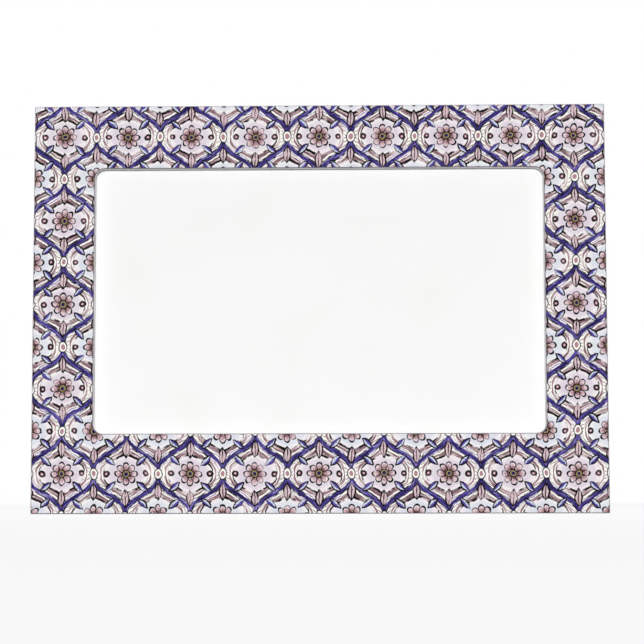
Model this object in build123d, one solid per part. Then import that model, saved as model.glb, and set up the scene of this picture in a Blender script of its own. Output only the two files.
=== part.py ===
"""Magnetic photo frame: a printed front with a window, a top-loading photo pocket and magnet strips.

The layers are flat sheets bonded by double-sided tape. From the wall outwards they are the magnet
strips, a back panel with a thumb notch, three spacers that leave the pocket open at the top, a clear
cover sheet and the printed front frame. The photo card stands in the pocket and lifts out upwards.

X runs to the right and Z upwards as the frame is looked at, and the front faces -Y. The origin is in
the plane where the magnets meet the steel, at the middle of the frame. Sizes are in millimetres.
"""

import os

from build123d import *

# Photo card, a 6 by 4 inch print
PHOTO_WIDTH = 152.4
PHOTO_HEIGHT = 101.6
PHOTO_THICKNESS = 0.3

# Front frame, cut from one sheet
BORDER = 12.7  # sheet past the photo on each side, before the pocket is raised
POCKET_RAISE = 2.4  # photo and window stand this far above the middle, for a heavier foot
WINDOW_LAP_SIDE = 6.35  # how much of the photo the frame hides at its left and right
WINDOW_LAP_TOP = 9.525  # how much it hides at the top and the bottom
WINDOW_CORNER_RADIUS = 3.0
FRAME_THICKNESS = 2.0
FRAME_CORNER_RADIUS = 0.4
EDGE_CHAMFER = 0.25  # front edges, round the outside and round the window
PRINT_THICKNESS = 0.1

# Sheets behind the front frame
REAR_INSET = 1.0  # they stop short of the front frame's edge
REAR_CORNER_RADIUS = 2.0
COVER_THICKNESS = 0.8
BACK_THICKNESS = 1.0
TAPE_THICKNESS = 0.15
TAPE_MARGIN = 0.75  # tape stops short of the edge of what it holds

# Photo pocket
PHOTO_SIDE_PLAY = 0.3  # gap between the photo and each side spacer
SPACER_PLAY = 0.2  # spacers are thicker than the photo by this
LEAD_IN = 4.0  # chamfer that guides the photo in at the pocket's mouth
NOTCH_WIDTH = 28.0
NOTCH_REVEAL = 7.5  # height of photo that the thumb can reach
NOTCH_CORNER_RADIUS = 11.0
NOTCH_LIP_RADIUS = 2.5

# Magnet strips
MAGNET_WIDTH = 12.7
MAGNET_THICKNESS = 1.5
MAGNET_EDGE_RADIUS = 0.3
MAGNET_MARGIN = 9.0  # from the rear sheets' edge
MAGNET_NOTCH_GAP = 7.0  # from the thumb notch to the strips beside it

# Outlines, seen from the front
frame_width = PHOTO_WIDTH + 2 * BORDER
frame_height = PHOTO_HEIGHT + 2 * BORDER
window_width = PHOTO_WIDTH - 2 * WINDOW_LAP_SIDE
window_height = PHOTO_HEIGHT - 2 * WINDOW_LAP_TOP
rear_width = frame_width - 2 * REAR_INSET
rear_height = frame_height - 2 * REAR_INSET
rear_top = rear_height / 2
rear_bottom = -rear_top
window_top = POCKET_RAISE + window_height / 2
window_bottom = POCKET_RAISE - window_height / 2
photo_top = POCKET_RAISE + PHOTO_HEIGHT / 2
photo_bottom = POCKET_RAISE - PHOTO_HEIGHT / 2
pocket_side = PHOTO_WIDTH / 2 + PHOTO_SIDE_PLAY

# Depths, counted forwards from the steel
back_rear = MAGNET_THICKNESS + TAPE_THICKNESS
back_front = back_rear + BACK_THICKNESS
spacer_rear = back_front + TAPE_THICKNESS
spacer_thickness = PHOTO_THICKNESS + SPACER_PLAY
spacer_front = spacer_rear + spacer_thickness
cover_rear = spacer_front + TAPE_THICKNESS
cover_front = cover_rear + COVER_THICKNESS
frame_rear = cover_front + TAPE_THICKNESS


def layer(outline, rear, thickness):
    """A sheet of the given outline, from depth rear forwards."""
    return extrude(Plane.XZ.offset(rear) * outline, amount=thickness)


def tape(outline, rear):
    """Double-sided tape that bonds a piece of the given outline, from depth rear forwards."""
    return layer(offset(outline, -TAPE_MARGIN, kind=Kind.INTERSECTION), rear, TAPE_THICKNESS)


def strip_between(left, right, bottom, top):
    """A rectangle between four edges."""
    return Pos((left + right) / 2, (bottom + top) / 2) * Rectangle(right - left, top - bottom)


def rear_outline():
    """The outline that the cover sheet, the spacers and the back panel share."""
    return RectangleRounded(rear_width, rear_height, REAR_CORNER_RADIUS)


def front_frame():
    """The sheet with the window, chamfered along every edge of its front face."""
    outline = RectangleRounded(frame_width, frame_height, FRAME_CORNER_RADIUS)
    window = RectangleRounded(window_width, window_height, WINDOW_CORNER_RADIUS)
    sheet = layer(outline - Pos(0, POCKET_RAISE) * window, frame_rear, FRAME_THICKNESS)
    return chamfer(front_face(sheet).edges(), EDGE_CHAMFER)


def front_face(sheet):
    """The face of a sheet that looks forwards."""
    return sheet.faces().sort_by(Axis.Y)[0]


def printed_face(frame):
    """The printed film on the flat of the front frame, inside its chamfers."""
    return extrude(front_face(frame), amount=PRINT_THICKNESS)


def window_tapes():
    """Four tapes that bond the cover sheet round the window."""
    side = window_width / 2
    edge = rear_width / 2
    strips = {
        "top": strip_between(-edge, edge, window_top, rear_top),
        "bottom": strip_between(-edge, edge, rear_bottom, window_bottom),
        "left": strip_between(-edge, -side, window_bottom, window_top),
        "right": strip_between(side, edge, window_bottom, window_top),
    }
    pieces = {}
    for place, strip in strips.items():
        pieces[f"window_tape_{place}"] = tape(rear_outline() & strip, cover_front)
    return pieces


def spacer_outlines():
    """Outlines of the three spacers. The two at the sides have a lead-in at the pocket's mouth."""
    right = rear_outline() & strip_between(pocket_side, rear_width / 2, rear_bottom, rear_top)
    mouth_corner = right.vertices().group_by(Axis.Y)[-1].sort_by(Axis.X)[0]
    right = chamfer(mouth_corner, LEAD_IN)
    return {
        "left": mirror(right, about=Plane.YZ),
        "right": right,
        "bottom": strip_between(-pocket_side, pocket_side, rear_bottom, photo_bottom),
    }


def pocket_spacers():
    """The spacers, each with a tape on its front and one on its rear."""
    pieces = {}
    for place, outline in spacer_outlines().items():
        pieces[f"spacer_{place}"] = layer(outline, spacer_rear, spacer_thickness)
        pieces[f"spacer_{place}_front_tape"] = tape(outline, spacer_front)
        pieces[f"spacer_{place}_rear_tape"] = tape(outline, back_front)
    return pieces


def back_panel():
    """The rear sheet, with a round-cornered thumb notch cut down from its top edge."""
    half = NOTCH_WIDTH / 2
    notch = strip_between(-half, half, photo_top - NOTCH_REVEAL, rear_top)
    notch = fillet(notch.vertices().group_by(Axis.Y)[0], NOTCH_CORNER_RADIUS)
    panel = rear_outline() - notch
    lips = panel.vertices().group_by(Axis.Y)[-1].sort_by(Axis.X)[1:-1]
    return layer(fillet(lips, NOTCH_LIP_RADIUS), back_rear, BACK_THICKNESS)


def magnet_outlines():
    """Outlines of the magnet strips: two beside the notch, one across the middle, one along the foot."""
    end = rear_width / 2 - MAGNET_MARGIN
    notch_side = NOTCH_WIDTH / 2 + NOTCH_LIP_RADIUS + MAGNET_NOTCH_GAP
    top = rear_top - MAGNET_MARGIN
    foot = rear_bottom + MAGNET_MARGIN
    half = MAGNET_WIDTH / 2
    return {
        "top_left": strip_between(-end, -notch_side, top - MAGNET_WIDTH, top),
        "top_right": strip_between(notch_side, end, top - MAGNET_WIDTH, top),
        "middle": strip_between(-end, end, -half, half),
        "bottom": strip_between(-end, end, foot, foot + MAGNET_WIDTH),
    }


def magnets():
    """The magnet strips, eased along their rear edges, each with its tape."""
    pieces = {}
    for place, outline in magnet_outlines().items():
        strip = layer(outline, 0, MAGNET_THICKNESS)
        rear_edges = strip.faces().sort_by(Axis.Y)[-1].edges()
        pieces[f"magnet_{place}"] = fillet(rear_edges, MAGNET_EDGE_RADIUS)
        pieces[f"magnet_{place}_tape"] = tape(outline, MAGNET_THICKNESS)
    return pieces


def photo_card():
    """The card, standing on the bottom spacer midway between the back panel and the cover sheet."""
    card = strip_between(-PHOTO_WIDTH / 2, PHOTO_WIDTH / 2, photo_bottom, photo_top)
    return layer(card, (back_front + cover_rear - PHOTO_THICKNESS) / 2, PHOTO_THICKNESS)


def build():
    """Every piece of the frame, by name."""
    frame = front_frame()
    return {
        "front_frame": frame,
        "printed_face": printed_face(frame),
        "clear_cover": layer(rear_outline(), cover_rear, COVER_THICKNESS),
        "back_panel": back_panel(),
        "photo_card": photo_card(),
        **window_tapes(),
        **pocket_spacers(),
        **magnets(),
    }


os.makedirs("parts", exist_ok=True)
for name, piece in build().items():
    export_step(piece, f"parts/{name}.step")
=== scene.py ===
"""Looks of a magnetic photo frame: its printed border, sheets, photo card and magnet strips.

Every length is in metres in the part's own frame: X to the right and Z upwards as the frame is looked
at, with the printed front facing -Y. Patterns on a surface are worked out in millimetres. A pattern's
stretch multiplies the points along its run and across it, so that a small number draws it out.
"""

from __future__ import annotations

import logging
import math
from abc import ABC, abstractmethod
from collections.abc import Callable
from dataclasses import dataclass, field
from enum import Enum

import bmesh
import bpy
from mathutils import Color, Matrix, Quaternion, Vector


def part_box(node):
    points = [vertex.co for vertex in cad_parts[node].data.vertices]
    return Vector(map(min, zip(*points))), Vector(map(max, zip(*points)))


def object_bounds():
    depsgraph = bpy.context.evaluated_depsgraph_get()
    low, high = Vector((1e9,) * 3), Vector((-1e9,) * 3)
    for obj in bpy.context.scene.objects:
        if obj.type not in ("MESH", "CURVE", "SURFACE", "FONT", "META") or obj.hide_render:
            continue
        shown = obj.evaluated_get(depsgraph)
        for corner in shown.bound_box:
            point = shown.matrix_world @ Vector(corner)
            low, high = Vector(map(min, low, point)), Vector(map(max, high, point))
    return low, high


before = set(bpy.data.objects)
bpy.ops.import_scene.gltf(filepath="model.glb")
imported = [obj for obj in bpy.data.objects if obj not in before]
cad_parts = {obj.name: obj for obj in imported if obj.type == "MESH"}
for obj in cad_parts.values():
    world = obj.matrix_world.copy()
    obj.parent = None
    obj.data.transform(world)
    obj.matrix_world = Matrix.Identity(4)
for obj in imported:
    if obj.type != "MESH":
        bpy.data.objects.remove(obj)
CAD_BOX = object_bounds()

LOG = logging.getLogger("photo_frame")
MM = 0.001
PER_METRE = 1000.0
SCREEN_FULL = 255


def srgb(red: int, green: int, blue: int) -> tuple[float, float, float, float]:
    """A colour as a shader takes it.

    Args:
        red: Red as it is seen on a screen, from 0 to 255.
        green: Green, likewise.
        blue: Blue, likewise.

    Returns:
        Linear red, green and blue, with full alpha.
    """
    seen = Color((red / SCREEN_FULL, green / SCREEN_FULL, blue / SCREEN_FULL))
    return (*seen.from_srgb_to_scene_linear(), 1.0)


class Signal:
    """An output in a node tree. Those that carry values take part in plain arithmetic."""

    def __init__(self, graph: Graph, socket: bpy.types.NodeSocket) -> None:
        """Keeps the tree and the socket."""
        self.graph = graph
        self.socket = socket

    def __add__(self, other: Value) -> Signal:
        """The sum."""
        return self.graph.math("ADD", self, other)

    def __sub__(self, other: Value) -> Signal:
        """The difference."""
        return self.graph.math("SUBTRACT", self, other)

    def __rsub__(self, other: Value) -> Signal:
        """The difference, taken the other way round."""
        return self.graph.math("SUBTRACT", other, self)

    def __mul__(self, other: Value) -> Signal:
        """The product."""
        return self.graph.math("MULTIPLY", self, other)

    def __truediv__(self, other: Value) -> Signal:
        """The quotient."""
        return self.graph.math("DIVIDE", self, other)

    def __rtruediv__(self, other: Value) -> Signal:
        """The quotient, taken the other way round."""
        return self.graph.math("DIVIDE", other, self)

    def __pow__(self, other: Value) -> Signal:
        """This value raised to a power."""
        return self.graph.math("POWER", self, other)

    def __abs__(self) -> Signal:
        """The value without its sign."""
        return self.graph.math("ABSOLUTE", self)

    __radd__ = __add__
    __rmul__ = __mul__


Value = float | Signal
Colour = tuple[float, float, float, float] | Signal
Inputs = dict[str | int, Value | Colour]


def spaced(inputs: dict[str, Value | Colour]) -> Inputs:
    """Inputs by the names of their sockets, with a space for each _."""
    return {name.replace("_", " "): value for name, value in inputs.items()}


class Graph:
    """A node tree, with short methods for the nodes that the finishes are made of."""

    # A Mix node has sockets of the same names for each kind of data, so those for colours go by number
    MIX_FIRST = 6
    MIX_SECOND = 7
    MIX_RESULT = 2

    def __init__(self, tree: bpy.types.NodeTree) -> None:
        """Keeps the tree."""
        self.tree = tree

    def node(self, kind: str, inputs: Inputs, **settings: object) -> bpy.types.Node:
        """Adds a node.

        Args:
            kind: The node's type in Blender.
            inputs: Signals to link and constants to write, by the names or numbers of their sockets.
            settings: Properties of the node, by name.

        Returns:
            The new node.
        """
        made = self.tree.nodes.new(kind)
        for name, setting in settings.items():
            setattr(made, name, setting)
        for key, value in inputs.items():
            if isinstance(value, Signal):
                self.tree.links.new(value.socket, made.inputs[key])
            else:
                made.inputs[key].default_value = value
        return made

    def result(self, kind: str, inputs: Inputs, output: str | int = 0, **settings: object) -> Signal:
        """One output of a new node, by its name or number, with the other arguments of node."""
        return Signal(self, self.node(kind, inputs, **settings).outputs[output])

    def outputs(self, node: bpy.types.Node) -> dict[str, Signal]:
        """The outputs of a node, by name."""
        return {socket.name: Signal(self, socket) for socket in node.outputs if socket.name}

    def math(self, operation: str, *values: Value) -> Signal:
        """One step of arithmetic, by its name in Blender, on values in order."""
        return self.result("ShaderNodeMath", dict(enumerate(values)), operation=operation)

    def least(self, first: Value, second: Value) -> Signal:
        """The smaller of two values."""
        return self.math("MINIMUM", first, second)

    def most(self, first: Value, second: Value) -> Signal:
        """The larger of two values."""
        return self.math("MAXIMUM", first, second)

    def root(self, value: Value) -> Signal:
        """The square root."""
        return self.math("SQRT", value)

    def length(self, first: Value, second: Value) -> Signal:
        """How long a flat vector is."""
        return self.root(self.math("MULTIPLY_ADD", first, first, self.math("MULTIPLY", second, second)))

    def rise(self, low: Value, high: Value, value: Value) -> Signal:
        """A soft step, from 0 where the value is at low to 1 where it is at high."""
        inputs = {"Value": value, "From Min": low, "From Max": high}
        return self.result("ShaderNodeMapRange", inputs, "Result", interpolation_type="SMOOTHSTEP")

    def fall(self, low: Value, high: Value, value: Value) -> Signal:
        """A soft step down, from 1 at low to 0 at high."""
        return 1.0 - self.rise(low, high, value)

    def mix(self, share: Value, first: Colour, second: Colour) -> Signal:
        """A blend of two colours, from the first at a share of 0 to the second at 1."""
        inputs = {"Factor": share, self.MIX_FIRST: first, self.MIX_SECOND: second}
        return self.result("ShaderNodeMix", inputs, self.MIX_RESULT, data_type="RGBA")

    def blend(self, share: Value, first: Signal, second: Signal) -> Signal:
        """A blend of two shaders, from the first at a share of 0 to the second at 1."""
        return self.result("ShaderNodeMixShader", {0: share, 1: first, 2: second})

    def scaled(self, vector: Signal, times: Value) -> Signal:
        """A vector or a colour with each of its parts multiplied."""
        return self.result("ShaderNodeVectorMath", {0: vector, "Scale": times}, operation="SCALE")

    def vector(self, across: Value, deep: Value, up: Value) -> Signal:
        """A vector from its three parts."""
        return self.result("ShaderNodeCombineXYZ", {"X": across, "Y": deep, "Z": up})

    def parts(self, vector: Signal) -> tuple[Signal, ...]:
        """The X, Y and Z of a vector."""
        split = self.node("ShaderNodeSeparateXYZ", {0: vector})
        return tuple(Signal(self, socket) for socket in split.outputs)

    def place(self) -> Signal:
        """Where a point of the surface is in the part's frame, in millimetres."""
        return self.scaled(self.result("ShaderNodeTexCoord", {}, "Object"), PER_METRE)

    def noise(
        self, place: Signal, size: float, detail: float = 2.0, rough: float = 0.5, output: str | int = 0
    ) -> Signal:
        """Cloudy noise, from 0 to 1 and near a half on average.

        Args:
            place: Where it is read, in millimetres.
            size: About how large its clouds are, in millimetres.
            detail: How many finer layers it has.
            rough: How strong the finer layers are.
            output: Which output of the texture is taken: the first one for values, or Color.

        Returns:
            The noise.
        """
        inputs = {"Vector": place, "Scale": 1.0 / size, "Detail": detail, "Roughness": rough}
        return self.result("ShaderNodeTexNoise", inputs, output)

    def drift(self, place: Signal, size: float, reach: float) -> Signal:
        """Moves points a little, as an unsteady hand would.

        Args:
            place: The points, in millimetres.
            size: How far apart the wobbles are, in millimetres.
            reach: How far a point moves at most, in millimetres.

        Returns:
            The moved points.
        """
        cloud = self.noise(place, size, detail=1.0, output="Color")
        inputs = {0: cloud, 1: (2 * reach,) * 3, 2: place}
        moved = self.result("ShaderNodeVectorMath", inputs, operation="MULTIPLY_ADD")
        return self.result("ShaderNodeVectorMath", {0: moved, 1: (reach,) * 3}, operation="SUBTRACT")

    def bump(self, height: Signal, depth: float, strength: float) -> Signal:
        """A normal that follows a height of 0 to 1, for a depth in metres."""
        return self.result("ShaderNodeBump", {"Height": height, "Distance": depth, "Strength": strength})

    def group(self, tree: bpy.types.NodeTree, **inputs: Value) -> dict[str, Signal]:
        """Places a shared effect, with its inputs by name and _ for a space, for its outputs by name."""
        return self.outputs(self.node("ShaderNodeGroup", spaced(inputs), node_tree=tree))


class SocketKind(Enum):
    """What a node group's socket carries."""

    VALUE = "NodeSocketFloat"
    VECTOR = "NodeSocketVector"


Wiring = Callable[[Graph, dict[str, Signal]], dict[str, Signal]]


def shared_effect(name: str, inputs: tuple[str, ...], wiring: Wiring) -> bpy.types.NodeTree:
    """Makes the node group of an effect that several finishes use.

    Args:
        name: The group's name.
        inputs: The names of its value inputs. It also takes Place, in millimetres.
        wiring: Builds its nodes from its inputs and returns its outputs, by name.

    Returns:
        The node group.
    """
    tree = bpy.data.node_groups.new(name, "ShaderNodeTree")
    graph = Graph(tree)
    tree.interface.new_socket("Place", in_out="INPUT", socket_type=SocketKind.VECTOR.value)
    for socket_name in inputs:
        tree.interface.new_socket(socket_name, in_out="INPUT", socket_type=SocketKind.VALUE.value)
    results = wiring(graph, graph.outputs(graph.node("NodeGroupInput", {})))
    for socket_name in results:
        tree.interface.new_socket(socket_name, in_out="OUTPUT", socket_type=SocketKind.VALUE.value)
    graph.node("NodeGroupOutput", results)
    return tree


@dataclass
class Effects:
    """The surface effects that more than one finish uses, as node groups. Sizes are in millimetres."""

    smudge_size: float = 14.0
    scratch_bend: tuple[float, float] = (30.0, 6.0)
    level_scratch_stretch: tuple[float, float] = (0.08, 2.2)
    steep_scratch_stretch: tuple[float, float] = (0.05, 1.6)
    cloud_size: float = 22.0
    cut_size: float = 0.22
    cut_stretch: float = 0.06
    worn_size: float = 2.6
    worn_reach: float = 0.9
    handling: bpy.types.NodeTree = field(init=False)
    grain: bpy.types.NodeTree = field(init=False)
    cut: bpy.types.NodeTree = field(init=False)
    rim: bpy.types.NodeTree = field(init=False)

    def __post_init__(self) -> None:
        """Builds each group once."""
        self.handling = shared_effect("handling_marks", (), self.wire_handling)
        self.grain = shared_effect("sheet_grain", ("Size",), self.wire_grain)
        self.cut = shared_effect("cut_edge", (), self.wire_cut)
        self.rim = shared_effect("outline_rim", ("Half Width", "Half Height", "Rise"), self.wire_rim)

    def wire_handling(self, graph: Graph, entry: dict[str, Signal]) -> dict[str, Signal]:
        """Smudges from fingers, and hair-fine scratches.

        Args:
            graph: The group's tree.
            entry: Its inputs.

        Returns:
            Smudge and Scratch, from 0 to 1.
        """
        cloud = graph.noise(entry["Place"], self.smudge_size, detail=3.0, rough=0.55)
        across, deep, up = graph.parts(graph.drift(entry["Place"], *self.scratch_bend))
        run, width = self.level_scratch_stretch
        level = graph.noise(graph.vector(across * run, deep, up * width), 1.0)
        run, width = self.steep_scratch_stretch
        steep = graph.noise(graph.vector((across + up) * width, deep, (across - up) * run), 1.0)
        scratch = graph.most(graph.rise(0.70, 0.74, level), graph.rise(0.71, 0.75, steep))
        return {"Smudge": graph.rise(0.45, 0.75, cloud), "Scratch": scratch}

    def wire_grain(self, graph: Graph, entry: dict[str, Signal]) -> dict[str, Signal]:
        """The fine pebble of moulded or rolled sheet.

        Args:
            graph: The group's tree.
            entry: Its inputs.

        Returns:
            Height, and a Cloud that varies slowly, both from 0 to 1.
        """
        close = graph.scaled(entry["Place"], 1.0 / entry["Size"])
        height = graph.noise(close, 1.0, detail=3.0, rough=0.6)
        return {"Height": height, "Cloud": graph.noise(entry["Place"], self.cloud_size)}

    def wire_cut(self, graph: Graph, entry: dict[str, Signal]) -> dict[str, Signal]:
        """The fine lines that a cutter leaves across a sheet's edge.

        Args:
            graph: The group's tree.
            entry: Its inputs.

        Returns:
            Lines, from 0 to 1.
        """
        across, deep, up = graph.parts(entry["Place"])
        drawn = graph.vector(across, deep * self.cut_stretch, up)
        return {"Lines": graph.noise(drawn, self.cut_size, rough=0.6)}

    def wire_rim(self, graph: Graph, entry: dict[str, Signal]) -> dict[str, Signal]:
        """How far a point is inside a sheet's outline.

        Args:
            graph: The group's tree.
            entry: Its inputs.

        Returns:
            Inside, in millimetres, and Worn, which is 1 in patches along the rim.
        """
        across, _, up = graph.parts(entry["Place"])
        side = entry["Half Width"] - abs(across)
        end = entry["Half Height"] - abs(up - entry["Rise"])
        inside = graph.least(side, end)
        cloud = graph.noise(entry["Place"], self.worn_size, detail=3.0, rough=0.6)
        patch = graph.rise(0.5, 0.72, cloud)
        return {"Inside": inside, "Worn": patch * graph.fall(0.0, self.worn_reach, inside)}


def empty_graph(owner: bpy.types.Material | bpy.types.World) -> Graph:
    """The node tree of a material or a world, with nothing in it yet.

    Args:
        owner: The material or world.

    Returns:
        Its tree.
    """
    owner.use_nodes = True
    owner.node_tree.nodes.clear()
    return Graph(owner.node_tree)


class Finish(ABC):
    """A surface finish, which paints a material's node tree."""

    name: str

    def material(self, effects: Effects) -> bpy.types.Material:
        """Makes the finish's material.

        Args:
            effects: The shared effects.

        Returns:
            The material.
        """
        made = bpy.data.materials.new(self.name)
        graph = empty_graph(made)
        graph.node("ShaderNodeOutputMaterial", {"Surface": self.paint(graph, effects)})
        return made

    @abstractmethod
    def paint(self, graph: Graph, effects: Effects) -> Signal:
        """Builds the finish's nodes.

        Args:
            graph: The material's tree.
            effects: The shared effects.

        Returns:
            The finish's shader.
        """


def principled(graph: Graph, **inputs: Value | Colour) -> Signal:
    """The shader of a solid finish, with its inputs by name and _ for a space."""
    return graph.result("ShaderNodeBsdfPrincipled", spaced(inputs))


def sheet_rim(graph: Graph, effects: Effects, place: Signal, node: str) -> dict[str, Signal]:
    """Places the rim effect with the outline of a sheet.

    Args:
        graph: The material's tree.
        effects: The shared effects.
        place: Points of the surface, in millimetres.
        node: The CAD node that has the outline.

    Returns:
        The effect's outputs, Inside and Worn.
    """
    low, high = (Vector(corner) * PER_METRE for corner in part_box(node))
    half = (high - low) / 2
    middle = (high + low) / 2
    return graph.group(effects.rim, Place=place, Half_Width=half.x, Half_Height=half.z, Rise=middle.z)


@dataclass(frozen=True)
class PrintColours:
    """The washes and inks of the border's design."""

    paper: Colour = srgb(252, 249, 244)
    blush: Colour = srgb(250, 241, 243)
    lilac: Colour = srgb(216, 205, 219)
    pale_blue: Colour = srgb(214, 219, 231)
    violet: Colour = srgb(90, 76, 164)
    navy: Colour = srgb(36, 28, 84)
    mauve: Colour = srgb(178, 136, 143)
    plum: Colour = srgb(110, 70, 80)
    rose: Colour = srgb(221, 199, 206)
    ink: Colour = srgb(12, 7, 9)
    ochre: Colour = srgb(150, 134, 92)


@dataclass(frozen=True)
class OgeePrint(Finish):
    """Satin printed film: an ogee trellis with rosettes, buds and leaves, in brush and ink.

    The columns fall on the middle of the side borders, and the rows on the middle of the top and the
    bottom border. Every second column is dropped by half a repeat. Sizes are in millimetres, offsets are
    counted from the strands inwards, and a turn is in degrees.
    """

    name: str = "ogee_print"
    colours: PrintColours = PrintColours()

    # The repeat and its trellis
    column_pitch: float = 19.84
    row_pitch: float = 26.2
    row_start: float = 53.6
    ogee_fullness: float = 0.08
    strand_half: float = 0.62
    contour_gap: float = 0.15
    bristle_offset: float = 1.15
    bristle_half: float = 0.12

    # The washes
    pool_reach: float = 2.5
    wash_offsets: tuple[float, float] = (2.6, 5.6)
    tide_offset: float = 3.2
    tide_half: float = 0.5
    smear_offsets: tuple[float, float] = (1.0, 3.0)

    # The arcs inside the strands, and the hatching between the two
    arc_offset: float = 2.2
    arc_half: float = 0.5
    arc_line_gap: float = 0.35
    hatch_offset: float = 1.35
    hatch_half: float = 0.42
    hatch_pitch: float = 0.55
    hatch_slope: float = 0.6
    hatch_line: tuple[float, float] = (0.05, 0.16)

    # The rosettes
    petals: int = 8
    rosette_radius: float = 3.5
    petal_notch: float = 0.38
    petal_fullness: float = 0.6
    petal_bleed: float = 1.5
    eye_radius: float = 1.25
    eye_rim: float = 0.3
    pupil_radius: float = 0.55

    # The leaves, buds, berries and clasps
    leaf_spot: tuple[float, float] = (4.9, 4.0)
    leaf_turn: float = 44.0
    leaf_size: tuple[float, float] = (2.1, 0.8)
    leaf_rib_soft: float = 0.12
    bud_spot: tuple[float, float] = (0.0, 7.5)
    bud_turn: float = 90.0
    bud_size: tuple[float, float] = (2.6, 1.05)
    berry_spot: float = 6.1
    berry_radius: float = 0.8
    berry_rim: float = 0.5
    clasp_half: tuple[float, float] = (1.3, 1.9)
    clasp_rims: tuple[float, float] = (0.28, 0.7)

    # The hand that draws
    line_half: float = 0.21
    edge_soft: float = 0.1
    wobbles: tuple[tuple[float, float], ...] = ((7.0, 0.5), (1.4, 0.28))
    pool_size: float = 5.0
    press_size: float = 2.6
    speck_size: float = 0.5
    streak_stretch: tuple[float, float] = (0.2, 2.6)

    # The film
    grain_size: float = 0.5
    roughness: float = 0.34
    specular: float = 0.1
    relief: float = 0.03 * MM

    def paint(self, graph: Graph, effects: Effects) -> Signal:
        """Builds the print's nodes.

        Args:
            graph: The material's tree.
            effects: The shared effects.

        Returns:
            The film's shader.
        """
        place = graph.place()
        drawing = Drawing(graph.tree, place, self)
        drawing.lay_ground()
        drawing.lay_arcs()
        drawing.lay_strands()
        drawing.lay_rosette()
        drawing.lay_sprigs()
        drawing.lay_clasps()
        drawing.lay_spatter()

        marks = graph.group(effects.handling, Place=place)
        grain = graph.group(effects.grain, Place=place, Size=self.grain_size)
        worn = 0.06 * grain["Cloud"] + 0.07 * marks["Smudge"] + 0.1 * marks["Scratch"]
        height = drawing.relief * 0.6 + grain["Height"] * 0.3
        return principled(
            graph,
            Base_Color=drawing.colour,
            Roughness=self.roughness + worn,
            Specular_IOR_Level=self.specular,
            Normal=graph.bump(height, self.relief, strength=0.5),
        )


@dataclass(frozen=True)
class Cell:
    """A point of the design, folded into one quarter of its repeat, in millimetres.

    A turned point is in a dropped column. The strand is the distance from the trellis, negative in the
    other columns, inside is that distance without its sign, and the swell goes from 0 where strands meet
    to 1 halfway between.
    """

    across: Signal
    up: Signal
    turned: Signal
    strand: Signal
    inside: Signal
    swell: Signal
    radius: Signal
    angle: Signal


@dataclass(frozen=True)
class Hand:
    """What makes the drawing uneven: pooled wash, brush streaks, pen pressure and specks, from 0 to 1."""

    pool: Signal
    streak: Signal
    press: Signal
    speck: Signal


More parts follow.
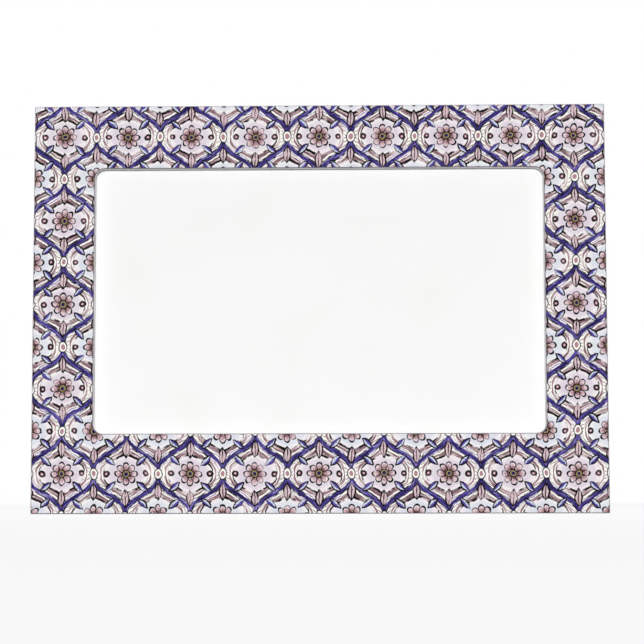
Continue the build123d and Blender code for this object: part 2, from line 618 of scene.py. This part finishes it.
class Drawing(Graph):
    """The print's node tree, in which the design is laid down in layers.

    Its colour and its relief, the height of the ink, are those of the layers so far.
    """

    def __init__(self, tree: bpy.types.NodeTree, place: Signal, design: OgeePrint) -> None:
        """Starts from bare paper.

        Args:
            tree: The material's tree.
            place: Points of the surface, in millimetres.
            design: The sizes and colours of the design.
        """
        super().__init__(tree)
        self.design = design
        self.inks = design.colours
        self.cell = self.fold(place)
        self.hand = self.move_hand(place)
        self.colour: Colour = self.inks.paper
        self.relief: Value = 0.0

    def fold(self, place: Signal) -> Cell:
        """Folds the surface into one repeat of the design, drawn a little unsteadily.

        Args:
            place: Points of the surface, in millimetres.

        Returns:
            The same points in the repeat, with the values that its motifs share.
        """
        for size, reach in self.design.wobbles:
            place = self.drift(place, size, reach)
        half_width = self.design.column_pitch / 2
        half_height = self.design.row_pitch / 2
        along, _, height = self.parts(place)
        across = self.math("PINGPONG", along, half_width)
        up = self.math("PINGPONG", height - self.design.row_start, half_height)
        phase = up * (math.pi / half_height)
        bend = self.math("COSINE", phase)
        swell = self.math("SINE", phase)
        full = 4 * self.design.ogee_fullness
        edge = half_width / 2 * (1.0 + bend * (1.0 + full - full * bend * bend))
        steepest = half_width * math.pi / (2 * half_height)
        slope = swell * (1.0 - 2 * full + 3 * full * swell * swell) * steepest
        strand = (across - edge) / self.root(slope * slope + 1.0)
        turned = self.math("GREATER_THAN", strand, 0.0)
        across = across + turned * (half_width - 2.0 * across)
        up = up + turned * (half_height - 2.0 * up)
        angle = self.math("ARCTAN2", up, across)
        return Cell(across, up, turned, strand, abs(strand), swell, self.length(across, up), angle)

    def move_hand(self, place: Signal) -> Hand:
        """Works out how unevenly the brush and the pen move.

        Args:
            place: Points of the surface, in millimetres.

        Returns:
            The unevenness.
        """
        design = self.design
        pool = self.noise(place, design.pool_size, detail=3.0, rough=0.55)
        along, _, height = self.parts(place)
        run, width = design.streak_stretch
        flow = self.vector(self.cell.strand * width, along * run + pool, height * run)
        return Hand(
            pool=pool,
            streak=self.noise(flow, 1.0, detail=3.0, rough=0.65),
            press=self.rise(0.34, 0.56, self.noise(place, design.press_size)),
            speck=self.noise(place, design.speck_size, rough=0.6),
        )

    def wash(self, mask: Value, tone: Colour) -> None:
        """Lays a thin colour where the mask is."""
        self.colour = self.mix(mask, self.colour, tone)

    def body(self, mask: Signal, tone: Colour) -> None:
        """Lays a thick colour, which stands up from the paper."""
        self.wash(mask, tone)
        self.relief = self.most(self.relief, mask)

    def stroke(self, distance: Signal, half: Value) -> Signal:
        """The mask of a brush or pen line about a distance of 0."""
        return self.fall(half - self.design.edge_soft, half + self.design.edge_soft, abs(distance))

    def shape(self, distance: Signal) -> Signal:
        """The mask of a filled shape, inside a distance of 0."""
        return self.fall(-self.design.edge_soft, self.design.edge_soft, distance)

    def leaf(
        self, spot: tuple[float, float], turn: float, size: tuple[float, float]
    ) -> tuple[Signal, Signal]:
        """Distance to a pointed leaf.

        Args:
            spot: The leaf's middle.
            turn: Its lean from level, in degrees.
            size: Its half length and half width.

        Returns:
            The distance, which is negative inside, and the distance from its midrib.
        """
        cosine = math.cos(math.radians(turn))
        sine = math.sin(math.radians(turn))
        right = self.cell.across - spot[0]
        above = self.cell.up - spot[1]
        lengthwise = (right * cosine + above * sine) / size[0]
        sideways = above * cosine - right * sine
        return abs(sideways) - size[1] * (1.0 - lengthwise * lengthwise), sideways

    def lay_ground(self) -> None:
        """Lays the washes: blush in pools, lilac or pale blue inside each ogee, and smears of ochre."""
        cell, hand, design, inks = self.cell, self.hand, self.design, self.inks
        self.wash(self.rise(0.4, 0.62, hand.pool), inks.blush)
        inside = cell.inside - (hand.pool - 0.5) * design.pool_reach
        tint = self.mix(cell.turned, inks.lilac, inks.pale_blue)
        self.wash(self.rise(*design.wash_offsets, inside) * (0.45 + 0.7 * hand.pool), tint)
        tide = self.fall(0.0, design.tide_half, abs(inside - design.tide_offset))
        self.wash(tide * 0.45, inks.lilac)
        smear = self.rise(0.56, 0.7, hand.streak) * self.fall(*design.smear_offsets, cell.inside)
        self.wash(smear * 0.5, inks.ochre)

    def lay_arcs(self) -> None:
        """Lays a dry mauve arc inside each strand, with pen hatching between the two."""
        cell, hand, design, inks = self.cell, self.hand, self.design, self.inks
        offset = cell.inside - design.arc_offset
        half = design.arc_half * (0.25 + cell.swell) * (0.6 + 0.8 * hand.streak)
        dry = self.rise(0.62, 0.5, hand.streak)
        tone = self.mix(self.rise(0.4, 0.62, hand.streak), inks.plum, inks.mauve)
        self.body(self.stroke(offset, half) * (0.25 + 0.7 * dry), tone)
        rung = self.math("PINGPONG", cell.up + design.hatch_slope * cell.across, design.hatch_pitch)
        gap = self.stroke(cell.inside - design.hatch_offset, design.hatch_half)
        self.body(self.fall(*design.hatch_line, rung) * gap * hand.press, inks.ink)
        swelling = design.line_half * (0.3 + 2.0 * hand.press * cell.swell)
        outline = self.stroke(offset - design.arc_half - design.arc_line_gap, swelling)
        self.body(outline * hand.press, inks.ink)

    def lay_strands(self) -> None:
        """Lays the strands of the trellis: streaked violet, with broken pen lines along both sides."""
        cell, hand, design, inks = self.cell, self.hand, self.design, self.inks
        half = design.strand_half * (0.3 + 0.7 * cell.swell) * (0.55 + 0.9 * hand.streak)
        tone = self.mix(self.rise(0.42, 0.6, hand.streak), inks.navy, inks.violet)
        tone = self.mix(self.rise(0.58, 0.72, hand.streak) * 0.8, tone, inks.lilac)
        self.body(self.stroke(cell.inside, half), tone)
        bristle = self.stroke(cell.inside - design.bristle_offset, design.bristle_half)
        self.body(bristle * cell.swell * (1.0 - hand.press), inks.violet)
        contour = self.stroke(cell.inside - half - design.contour_gap, design.line_half)
        self.body(contour * hand.press, inks.ink)

    def lay_rosette(self) -> None:
        """Lays a rosette in the middle of each ogee."""
        cell, hand, design, inks = self.cell, self.hand, self.design, self.inks
        waves = design.petals / 2
        lobe = abs(self.math("COSINE", cell.angle * waves))
        reach = 1.0 - design.petal_notch + design.petal_notch * lobe**design.petal_fullness
        outside = cell.radius - design.rosette_radius * reach
        petals = self.shape(outside)
        bleed = (hand.pool - 0.5) * design.petal_bleed
        depth = self.rise(design.eye_radius, design.rosette_radius, cell.radius + bleed)
        tone = self.mix(self.rise(0.0, 0.3, depth), inks.plum, inks.mauve)
        tone = self.mix(self.rise(0.3, 0.9, depth), tone, inks.rose)
        tone = self.mix(self.rise(0.5, 0.66, hand.speck) * 0.55, tone, inks.paper)
        self.body(petals, tone)
        vein = self.math("ARCSINE", lobe) * cell.radius / waves
        line = self.stroke(outside, design.line_half * (0.5 + 0.9 * hand.press))
        line = self.most(line, self.stroke(vein, design.line_half * 0.8) * petals)
        self.body(line, inks.ink)
        self.body(self.shape(cell.radius - design.eye_radius), inks.ink)
        self.body(self.shape(cell.radius - design.eye_radius + design.eye_rim), inks.ochre)
        self.body(self.shape(cell.radius - design.pupil_radius), inks.navy)

    def lay_sprigs(self) -> None:
        """Lays leaves, buds and berries between each rosette and its strands."""
        cell, hand, design, inks = self.cell, self.hand, self.design, self.inks
        leaf, rib = self.leaf(design.leaf_spot, design.leaf_turn, design.leaf_size)
        bud, spine = self.leaf(design.bud_spot, design.bud_turn, design.bud_size)
        berry = self.length(cell.across - design.berry_spot, cell.up) - design.berry_radius

        upper = self.rise(-design.leaf_rib_soft, design.leaf_rib_soft, rib)
        tone = self.mix(upper, inks.violet, inks.pale_blue)
        self.body(self.shape(leaf), self.mix(self.rise(0.5, 0.32, hand.speck) * 0.8, tone, inks.navy))
        self.body(self.shape(bud), self.mix(self.rise(0.3, 0.55, hand.speck), inks.mauve, inks.rose))
        self.body(self.shape(berry), inks.plum)
        self.wash(self.shape(berry + design.berry_rim), inks.rose)

        half = design.line_half * (0.4 + 0.8 * hand.press)
        line = self.stroke(spine, half * 0.7) * self.shape(bud)
        for outline in (leaf, bud, berry):
            line = self.most(line, self.stroke(outline, half))
        self.body(line, inks.ink)

    def lay_clasps(self) -> None:
        """Lays the clasps where strands meet."""
        cell, design, inks = self.cell, self.design, self.inks
        wide, tall = design.clasp_half
        side = self.length((cell.across - design.column_pitch / 2) / wide, cell.up / tall)
        tip = self.length(cell.across / wide, (cell.up - design.row_pitch / 2) / tall)
        clasp = (self.least(side, tip) - 1.0) * wide
        for rim, tone in zip((0.0, *design.clasp_rims), (inks.ink, inks.paper, inks.mauve)):
            self.body(self.shape(clasp + rim), tone)

    def lay_spatter(self) -> None:
        """Flicks fine ink over the drawing, and lets the colour settle unevenly."""
        fleck = self.rise(0.68, 0.74, self.hand.speck) * self.rise(0.45, 0.6, self.hand.pool)
        self.body(fleck * 0.8, self.inks.plum)
        self.colour = self.scaled(self.colour, 0.9 + 0.18 * self.hand.speck)


@dataclass(frozen=True)
class SheetEdge(Finish):
    """The front sheet's pale plastic, with the cutter's lines across its edges and a dark band on its
    chamfers:
    ink, and painted shade for the edge's shadow line.

    The band reaches a few tenths of a millimetre behind the front.
    """

    name: str = "front_sheet"
    node: str = "front_frame"
    body: Colour = srgb(232, 230, 233)
    pale: Colour = srgb(242, 241, 243)
    dark: Colour = srgb(210, 208, 212)
    # Partly ink on the chamfers and partly painted shade for the edge's shadow line
    ink: Colour = srgb(112, 106, 114)
    ink_and_shade_reach: float = 0.3
    ink_and_shade_soft: float = 0.05
    ink_and_shade_waver: float = 0.1
    roughness: float = 0.3
    index: float = 1.49
    relief: float = 0.05 * MM

    def paint(self, graph: Graph, effects: Effects) -> Signal:
        """Builds the sheet's nodes.

        Args:
            graph: The material's tree.
            effects: The shared effects.

        Returns:
            The sheet's shader.
        """
        place = graph.place()
        lines = graph.group(effects.cut, Place=place)["Lines"]
        marks = graph.group(effects.handling, Place=place)
        colour = graph.mix(graph.rise(0.3, 0.5, lines), self.dark, self.body)
        colour = graph.mix(graph.rise(0.55, 0.75, lines), colour, self.pale)
        _, deep, _ = graph.parts(place)
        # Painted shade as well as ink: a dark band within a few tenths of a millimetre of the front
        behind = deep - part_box(self.node)[0][1] * PER_METRE + self.ink_and_shade_waver * lines
        ink_and_shade_band = graph.fall(self.ink_and_shade_reach - self.ink_and_shade_soft, self.ink_and_shade_reach + self.ink_and_shade_soft, behind)
        return principled(
            graph,
            Base_Color=graph.mix(ink_and_shade_band, colour, self.ink),
            Roughness=self.roughness + 0.25 * lines + 0.1 * marks["Smudge"],
            IOR=self.index,
            Normal=graph.bump(lines, self.relief, strength=0.6),
        )


@dataclass(frozen=True)
class WhiteSheet(Finish):
    """White matte sheet plastic, as on the back panel and the spacers."""

    name: str = "white_sheet"
    node: str = "back_panel"
    body: Colour = srgb(239, 239, 238)
    shade: Colour = srgb(229, 229, 228)
    soiled: Colour = srgb(190, 186, 176)
    grain_size: float = 0.35
    edge_reach: float = 0.05
    roughness: float = 0.52
    specular: float = 0.45
    relief: float = 0.03 * MM

    def paint(self, graph: Graph, effects: Effects) -> Signal:
        """Builds the sheet's nodes.

        Args:
            graph: The material's tree.
            effects: The shared effects.

        Returns:
            The sheet's shader.
        """
        place = graph.place()
        grain = graph.group(effects.grain, Place=place, Size=self.grain_size)
        marks = graph.group(effects.handling, Place=place)
        lines = graph.group(effects.cut, Place=place)["Lines"]
        rim = sheet_rim(graph, effects, place, self.node)
        edge = graph.fall(0.0, self.edge_reach, rim["Inside"])
        colour = graph.mix(grain["Cloud"], self.body, self.shade)
        colour = graph.mix(edge * lines, colour, self.shade)
        height = grain["Height"] + 0.8 * edge * lines - 0.4 * marks["Scratch"]
        return principled(
            graph,
            Base_Color=graph.mix(rim["Worn"] * 0.5 + marks["Scratch"] * 0.18, colour, self.soiled),
            Roughness=self.roughness + 0.14 * grain["Cloud"] - 0.12 * marks["Smudge"],
            Specular_IOR_Level=self.specular,
            Normal=graph.bump(height, self.relief, strength=0.6),
        )


@dataclass(frozen=True)
class ClearSheet(Finish):
    """Clear sheet plastic: glossy faces, and pale frosted edges where it was cut."""

    name: str = "clear_sheet"
    node: str = "clear_cover"
    tint: Colour = srgb(255, 255, 255)
    edge: Colour = srgb(206, 216, 216)
    edge_reach: tuple[float, float] = (0.01, 0.05)
    edge_cover: float = 0.8
    edge_roughness: float = 0.4
    roughness: float = 0.04
    index: float = 1.49

    def paint(self, graph: Graph, effects: Effects) -> Signal:
        """Builds the sheet's nodes.

        Args:
            graph: The material's tree.
            effects: The shared effects.

        Returns:
            The sheet's shader.
        """
        place = graph.place()
        marks = graph.group(effects.handling, Place=place)
        rim = sheet_rim(graph, effects, place, self.node)
        clear = graph.result("ShaderNodeBsdfTransparent", {"Color": self.tint})
        gloss = graph.result("ShaderNodeBsdfGlossy", {"Roughness": self.roughness + 0.1 * marks["Smudge"]})
        frosted = principled(graph, Base_Color=self.edge, Roughness=self.edge_roughness)
        mirror = graph.result("ShaderNodeFresnel", {"IOR": self.index})
        outer = 1.0 - graph.result("ShaderNodeNewGeometry", {}, "Backfacing")
        face = graph.blend(mirror * outer, clear, gloss)
        return graph.blend(graph.fall(*self.edge_reach, rim["Inside"]) * self.edge_cover, face, frosted)


@dataclass(frozen=True)
class PhotoPaper(Finish):
    """A blank photo card: resin-coated white paper with a faint tooth and a warmer, greyer rim of cut
    fibre, wear and painted shade.
    """

    name: str = "photo_paper"
    node: str = "photo_card"
    face: Colour = srgb(251, 251, 251)
    warm: Colour = srgb(247, 246, 243)
    # Colour of the cut fibre core and worn patches, and also of the painted shade along the rim
    fibre_and_shade: Colour = srgb(222, 218, 208)
    grain_size: float = 0.18
    edge_reach: tuple[float, float] = (0.01, 0.06)
    painted_rim_shade_reach: tuple[float, float] = (0.1, 1.6)
    roughness: float = 0.42
    specular: float = 0.35
    relief: float = 0.01 * MM

    def paint(self, graph: Graph, effects: Effects) -> Signal:
        """Builds the paper's nodes.

        Args:
            graph: The material's tree.
            effects: The shared effects.

        Returns:
            The paper's shader.
        """
        place = graph.place()
        grain = graph.group(effects.grain, Place=place, Size=self.grain_size)
        rim = sheet_rim(graph, effects, place, self.node)
        edge = graph.fall(*self.edge_reach, rim["Inside"])
        # Painted shade: a band a millimetre or two wide along the rim, darkened towards the fibre colour
        painted_rim_shade = graph.fall(*self.painted_rim_shade_reach, rim["Inside"] + grain["Height"])
        colour = graph.mix(graph.rise(0.4, 0.8, grain["Cloud"]) * 0.5, self.face, self.warm)
        colour = graph.mix(graph.most(edge * grain["Height"], 0.6 * painted_rim_shade), colour, self.fibre_and_shade)
        return principled(
            graph,
            Base_Color=graph.mix(rim["Worn"] * 0.3, colour, self.fibre_and_shade),
            Roughness=self.roughness + 0.1 * grain["Cloud"],
            Specular_IOR_Level=self.specular,
            Normal=graph.bump(grain["Height"], self.relief, strength=0.4),
        )


@dataclass(frozen=True)
class BondingTape(Finish):
    """Double-sided tape: a milky film with a fibrous core."""

    name: str = "bonding_tape"
    body: Colour = srgb(231, 228, 217)
    core: Colour = srgb(217, 211, 196)
    grain_size: float = 0.8
    fibre_size: float = 0.8
    fibre_stretch: tuple[float, float] = (0.2, 2.0)
    roughness: float = 0.5
    relief: float = 0.02 * MM

    def paint(self, graph: Graph, effects: Effects) -> Signal:
        """Builds the tape's nodes.

        Args:
            graph: The material's tree.
            effects: The shared effects.

        Returns:
            The tape's shader.
        """
        place = graph.place()
        grain = graph.group(effects.grain, Place=place, Size=self.grain_size)
        across, deep, up = graph.parts(place)
        run, width = self.fibre_stretch
        fibres = graph.noise(graph.vector(across * run, deep, up * width), self.fibre_size)
        fibres = graph.rise(0.5, 0.7, fibres)
        return principled(
            graph,
            Base_Color=graph.mix(0.5 * fibres + 0.3 * grain["Cloud"], self.body, self.core),
            Roughness=self.roughness + 0.2 * fibres,
            Normal=graph.bump(grain["Height"], self.relief, strength=0.5),
        )


@dataclass(frozen=True)
class MagnetRubber(Finish):
    """Bonded ferrite strip: dark brown rubber with rolling lines, specks and a chalky bloom."""

    name: str = "magnet_rubber"
    body: Colour = srgb(52, 50, 49)
    brown: Colour = srgb(66, 62, 59)
    bloom: Colour = srgb(122, 119, 116)
    grain_size: float = 0.25
    roll_stretch: tuple[float, float] = (0.015, 3.0)
    speck_size: float = 0.3
    roughness: float = 0.55
    specular: float = 0.4
    relief: float = 0.04 * MM

    def paint(self, graph: Graph, effects: Effects) -> Signal:
        """Builds the rubber's nodes.

        Args:
            graph: The material's tree.
            effects: The shared effects.

        Returns:
            The rubber's shader.
        """
        place = graph.place()
        grain = graph.group(effects.grain, Place=place, Size=self.grain_size)
        marks = graph.group(effects.handling, Place=place)
        across, deep, up = graph.parts(place)
        run, width = self.roll_stretch
        drawn = graph.vector(across * run, deep, up * width)
        rolled = graph.noise(drawn, 1.0, detail=3.0, rough=0.6)
        speck = graph.rise(0.66, 0.74, graph.noise(place, self.speck_size, detail=1.0))
        colour = graph.mix(graph.rise(0.35, 0.7, rolled), self.body, self.brown)
        colour = graph.mix(speck * 0.5, colour, self.bloom)
        height = rolled + 0.4 * grain["Height"] - 0.5 * marks["Scratch"]
        return principled(
            graph,
            Base_Color=graph.mix(marks["Scratch"] * 0.4 + marks["Smudge"] * 0.12, colour, self.bloom),
            Roughness=self.roughness + 0.2 * rolled,
            Specular_IOR_Level=self.specular,
            Normal=graph.bump(height, self.relief, strength=0.6),
        )


def background_seen(graph: Graph) -> Signal:
    """Where the background itself is looked at, straight or through gloss or glass.

    Args:
        graph: The tree of the floor or of the world.

    Returns:
        1 for such a ray, and 0 for one that only brings light.
    """
    rays = graph.outputs(graph.node("ShaderNodeLightPath", {}))
    through = graph.most(rays["Is Glossy Ray"], rays["Is Transmission Ray"])
    return graph.most(rays["Is Camera Ray"], through)


@dataclass(frozen=True)
class FloorPaint(Finish):
    """Paint that looks as white as the background, takes a shadow and throws little light back.

    The lift is how much of the background's own white it shows, near the frame and far off, and the fade
    is where the one goes over into the other, in millimetres.
    """

    name: str = "floor_white"
    white: Colour = (0.93, 0.93, 0.93, 1.0)
    bounce: Colour = (0.2, 0.2, 0.2, 1.0)
    lift: tuple[float, float] = (0.75, 1.0)
    fade: tuple[float, float] = (300.0, 900.0)

    def paint(self, graph: Graph, effects: Effects) -> Signal:
        """Builds the floor's nodes.

        Args:
            graph: The material's tree.
            effects: The shared effects, of which it has none.

        Returns:
            The floor's shader.
        """
        seen = background_seen(graph)
        painted = graph.result("ShaderNodeBsdfDiffuse", {"Color": graph.mix(seen, self.bounce, self.white)})
        bright = graph.result("ShaderNodeEmission", {})
        across, deep, _ = graph.parts(graph.place())
        near, far = self.lift
        lift = near + (far - near) * graph.rise(*self.fade, graph.length(across, deep))
        return graph.blend(seen * lift, painted, bright)


def dress(node: str, material: bpy.types.Material) -> None:
    """Gives a CAD node its finish.

    Args:
        node: The node's name.
        material: The finish's material.
    """
    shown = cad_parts[node]
    shown.data.materials.clear()
    shown.data.materials.append(material)
    LOG.info("%s: %s", node, material.name)


@dataclass
class PrintedFront:
    """The front sheet and the printed film on it."""

    sheet: Finish = SheetEdge()
    film: Finish = OgeePrint()

    def build(self, effects: Effects) -> None:
        """Dresses the sheet and the film."""
        dress("front_frame", self.sheet.material(effects))
        dress("printed_face", self.film.material(effects))


@dataclass
class PhotoPocket:
    """The clear cover, the spacers, the back panel and the tapes between them."""

    cover: Finish = ClearSheet()
    sheet: Finish = WhiteSheet()
    tape: Finish = BondingTape()

    def build(self, effects: Effects) -> None:
        """Dresses the pocket's sheets, and every tape.

        Args:
            effects: The shared effects.
        """
        dress("clear_cover", self.cover.material(effects))
        white = self.sheet.material(effects)
        tape = self.tape.material(effects)
        for node in ("back_panel", "spacer_left", "spacer_right", "spacer_bottom"):
            dress(node, white)
        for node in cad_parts:
            if "tape" in node:
                dress(node, tape)


@dataclass
class MagnetSet:
    """The magnet strips on the back panel."""

    rubber: Finish = MagnetRubber()
    places: tuple[str, ...] = ("top_left", "top_right", "middle", "bottom")

    def build(self, effects: Effects) -> None:
        """Dresses each strip.

        Args:
            effects: The shared effects.
        """
        rubber = self.rubber.material(effects)
        for place in self.places:
            dress(f"magnet_{place}", rubber)


@dataclass
class PhotoCard:
    """The blank card that shows in the window."""

    paper: Finish = PhotoPaper()

    def build(self, effects: Effects) -> None:
        """Dresses the card."""
        dress("photo_card", self.paper.material(effects))


def hang(light: bpy.types.Light, heading: Vector) -> bpy.types.Object:
    """Puts a light into the scene.

    Args:
        light: The light.
        heading: Where it shines to.

    Returns:
        The light's object.
    """
    hung = bpy.data.objects.new(light.name, light)
    hung.rotation_euler = heading.to_track_quat("-Z", "Y").to_euler()
    bpy.context.scene.collection.objects.link(hung)
    return hung


@dataclass(frozen=True)
class Lamp:
    """A soft box: where it stands, what it looks at, how large it is and how bright."""

    name: str
    place: tuple[float, float, float]
    aim: tuple[float, float, float]
    size: float
    power: float

    def build(self) -> None:
        """Hangs the lamp."""
        light = bpy.data.lights.new(self.name, "AREA")
        light.shape = "DISK"
        light.size = self.size
        light.energy = self.power
        hung = hang(light, Vector(self.aim) - Vector(self.place))
        hung.location = self.place


@dataclass(frozen=True)
class Beam:
    """A light from far off, with its spread in degrees. It is polarised, so it leaves no glare on gloss."""

    name: str
    heading: tuple[float, float, float]
    power: float
    spread: float = 5.0

    def build(self) -> None:
        """Sets the light."""
        light = bpy.data.lights.new(self.name, "SUN")
        light.energy = self.power
        light.angle = math.radians(self.spread)
        hung = hang(light, Vector(self.heading))
        hung.visible_glossy = False


@dataclass(frozen=True)
class ViewPoint:
    """The camera, set where the photograph was taken from.

    Its points are counted from the printed face, its roll is in degrees, and its lens and film are in
    millimetres.
    """

    place: tuple[float, float, float] = (0.01206, -0.58999, -0.0576)
    aim: tuple[float, float, float] = (0.00089, 0.0, -0.00452)
    roll: float = 0.1
    lens: float = 107.12
    film: float = 36.0
    nearest: float = 0.01

    def build(self) -> None:
        """Sets the camera up as the scene's own."""
        camera = bpy.data.cameras.new("camera")
        camera.sensor_width = self.film
        camera.lens = self.lens
        camera.clip_start = self.nearest
        held = bpy.data.objects.new("camera", camera)
        held.location = Vector(self.place) + Vector((0.0, CAD_BOX[0][1], 0.0))
        level = (Vector(self.aim) - Vector(self.place)).to_track_quat("-Z", "Y")
        held.rotation_mode = "QUATERNION"
        held.rotation_quaternion = level @ Quaternion((0, 0, 1), math.radians(-self.roll))
        bpy.context.scene.collection.objects.link(held)
        bpy.context.scene.camera = held


@dataclass
class Studio:
    """A plain white floor under soft light, on a white background."""

    floor_paint: Finish = FloorPaint()
    floor_radius: float = 3.0
    floor_sides: int = 64
    sky_white: Colour = (1.0, 1.0, 1.0, 1.0)
    ambient: float = 0.06
    view: ViewPoint = ViewPoint()
    lamps: tuple[Lamp | Beam, ...] = (
        Beam("front", heading=(0.0, 1.0, -0.05), power=2.66),
        Beam("back", heading=(0.0, -1.0, -0.05), power=2.66),
        Beam("left", heading=(1.0, 0.0, -0.05), power=2.5),
        Beam("right", heading=(-1.0, 0.0, -0.05), power=2.5),
        Lamp("top", place=(0.0, 0.0, 1.6), aim=(0.0, 0.0, 0.0), size=0.7, power=18.0),
    )

    def build(self, effects: Effects) -> None:
        """Lays the floor, lights the set and places the camera.

        Args:
            effects: The shared effects.
        """
        self.lay_floor(self.floor_paint.material(effects))
        self.light_world()
        for lamp in self.lamps:
            lamp.build()
        self.view.build()
        bpy.context.scene.view_settings.view_transform = "Standard"

    def lay_floor(self, paint: bpy.types.Material) -> None:
        """Makes the floor at the frame's lower edge.

        Args:
            paint: The floor's material.
        """
        mesh = bpy.data.meshes.new("floor")
        shape = bmesh.new()
        bmesh.ops.create_circle(shape, cap_ends=True, segments=self.floor_sides, radius=self.floor_radius)
        bmesh.ops.translate(shape, verts=shape.verts, vec=(0.0, 0.0, CAD_BOX[0][2]))
        shape.to_mesh(mesh)
        shape.free()
        floor = bpy.data.objects.new("floor", mesh)
        bpy.context.scene.collection.objects.link(floor)
        mesh.materials.append(paint)

    def light_world(self) -> None:
        """Sets soft light from all round, with plain white behind the frame."""
        world = bpy.data.worlds.new("studio")
        graph = empty_graph(world)
        strength = self.ambient + background_seen(graph) * (1.0 - self.ambient)
        sky = graph.result("ShaderNodeBackground", {"Color": self.sky_white, "Strength": strength})
        graph.node("ShaderNodeOutputWorld", {"Surface": sky})
        bpy.context.scene.world = world


def main() -> None:
    """Builds and dresses the frame, piece by piece, and sets the studio round it."""
    logging.basicConfig(level=logging.INFO, format="%(name)s: %(message)s")
    effects = Effects()
    for assembly in (PrintedFront(), PhotoPocket(), MagnetSet(), PhotoCard(), Studio()):
        assembly.build(effects)


if __name__ == "__main__":
    main()
